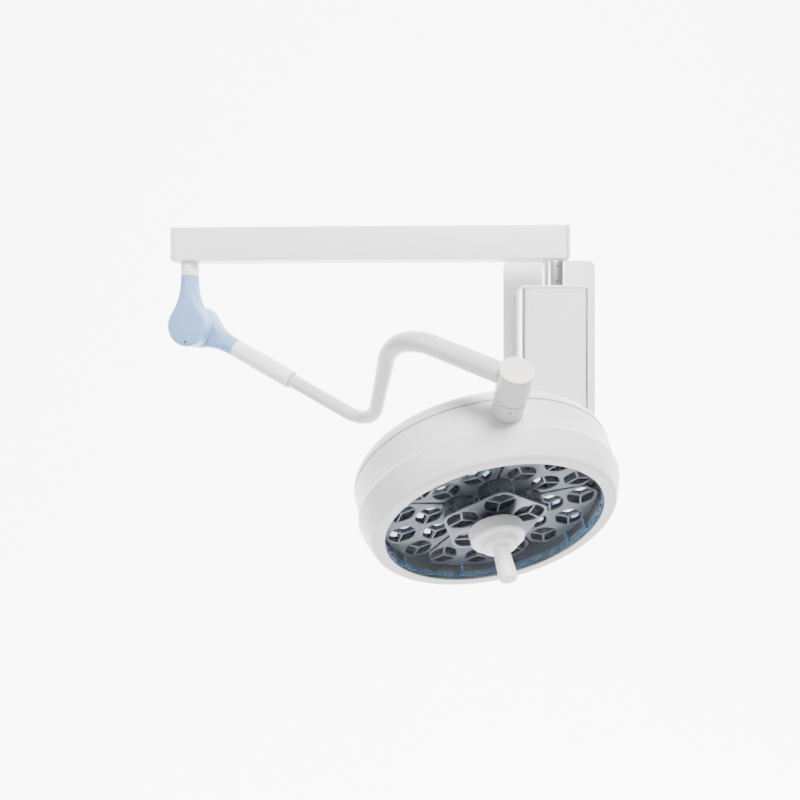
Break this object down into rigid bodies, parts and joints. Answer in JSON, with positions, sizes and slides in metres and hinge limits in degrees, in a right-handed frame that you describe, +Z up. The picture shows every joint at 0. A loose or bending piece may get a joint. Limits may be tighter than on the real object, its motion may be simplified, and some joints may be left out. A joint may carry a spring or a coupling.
{
  "type": "dental operating light",
  "caption": "Wall-mounted operating light: swinging arm, hinged arm on teardrop knuckles, bent yoke tube and a round tilting lamp head with a pull-off handle.",
  "frame": {"origin": "centre of the wall plate's back face, where it lies on the wall", "axes": "+X to the right along the wall, +Y out of the back face into the wall, +Z up; the arm at rest runs along -X"},
  "size_m": [0.9455, 0.5431, 0.766],
  "materials": {
    "white_paint": "white powder-coated aluminium, satin",
    "arm_paint": "white powder-coated aluminium, satin",
    "tube_paint": "white powder-coated aluminium, satin",
    "white_plastic": "moulded white plastic, semi-gloss",
    "warm_white": "moulded off-white plastic, satin",
    "aluminium": "satin anodised",
    "heat_sink": "thermally conductive dark plastic",
    "supply_case": "grey moulded casing",
    "blue_plastic": "light blue moulded plastic, glossy",
    "steel": "turned steel",
    "black_screw": "black oxide",
    "window": "clear cover glass with a faint blue edge",
    "led_grey": "dark blue-grey moulded carrier",
    "board": "circuit board",
    "nylon": "natural nylon",
    "handle_white": "white autoclavable plastic",
    "gasket": "black rubber"
  },
  "bodies": {
    "root": {"wall_plate": "white_paint", "wall_screw_1": "steel", "wall_screw_2": "steel", "wall_screw_3": "steel", "wall_screw_4": "steel", "housing_cover": "white_paint", "housing_rail_left": "aluminium", "housing_rail_right": "aluminium", "housing_cap_top": "white_paint", "housing_cap_bottom": "white_paint", "power_supply": "supply_case", "terminal_block": "nylon", "column_tube": "aluminium", "column_saddle": "aluminium", "column_screw_upper": "black_screw", "column_screw_lower": "black_screw", "column_bush_lower": "nylon", "column_bush_upper": "nylon", "thrust_washer": "nylon"},
    "arm": {"arm_beam": "arm_paint", "arm_cap_column": "white_plastic", "arm_cap_swivel": "white_plastic", "arm_spindle": "steel", "swivel_housing": "aluminium", "swivel_bush": "nylon"},
    "swivel": {"swivel_tube": "arm_paint", "front_shell_outer": "blue_plastic", "front_shell_inner": "blue_plastic", "front_drum": "aluminium", "hinge_axle": "steel"},
    "spring_arm": {"rear_shell_inner": "blue_plastic", "rear_shell_outer": "blue_plastic", "rear_drum": "aluminium", "knuckle_screw_1": "black_screw", "knuckle_screw_2": "black_screw", "sleeve_tube": "arm_paint", "sleeve_bush": "nylon", "spring_seat": "steel", "balance_spring": "steel"},
    "plunger": {"spring_rod": "steel"},
    "yoke": {"yoke_tube": "tube_paint", "hub_upper": "white_plastic", "hub_cap": "warm_white", "hub_bush": "nylon"},
    "head": {"hub_lower": "white_plastic", "hub_screw": "black_screw", "head_shell": "white_plastic", "back_cover": "white_plastic", "seam_gasket": "gasket", "window_glass": "window", "led_carrier_centre": "led_grey", "led_carrier_1": "led_grey", "led_carrier_2": "led_grey", "led_carrier_3": "led_grey", "led_carrier_4": "led_grey", "led_carrier_5": "led_grey", "led_board": "board", "heat_sink": "heat_sink", "handle_socket": "aluminium"},
    "handle": {"handle": "handle_white"}
  },
  "joints": [
    {"name": "arm_swing", "type": "hinge", "parent": "root", "child": "arm", "pos_m": [-0.01, -0.118, 0.2135], "axis": [0, 0, 1], "range_deg": [0, 90]},
    {"name": "knuckle_swivel", "type": "hinge", "parent": "arm", "child": "swivel", "pos_m": [-0.79342, -0.0879, 0.2135], "axis": [0, 0, 1], "range_deg": [-120, 0]},
    {"name": "arm_tilt", "type": "hinge", "parent": "swivel", "child": "spring_arm", "pos_m": [-0.78077, -0.04932, 0.0755], "axis": [0.3115, 0.9502, 0], "range_deg": [0, 25]},
    {"name": "plunger_slide", "type": "slide", "parent": "spring_arm", "child": "plunger", "axis": [-0.839, 0.275, 0.4695], "range_m": [0, 0.0053], "deforming": ["balance_spring"]},
    {"name": "yoke_roll", "type": "hinge", "parent": "spring_arm", "child": "yoke", "pos_m": [-0.78077, -0.04932, 0.0755], "axis": [0.839, -0.275, -0.4695], "range_deg": [-16, 8]},
    {"name": "head_tilt", "type": "hinge", "parent": "yoke", "child": "head", "pos_m": [-0.16448, -0.24696, -0.27349], "axis": [0.0681, -0.7544, 0.6529], "range_deg": [-90, 0]},
    {"name": "handle_pull", "type": "slide", "parent": "head", "child": "handle", "axis": [0.1604, -0.5994, -0.7842], "range_m": [0, 0.055]}
  ],
  "couplings": [
    {"joint": "plunger_slide", "follows": "arm_tilt", "m_per_rad": 0.012}
  ]
}
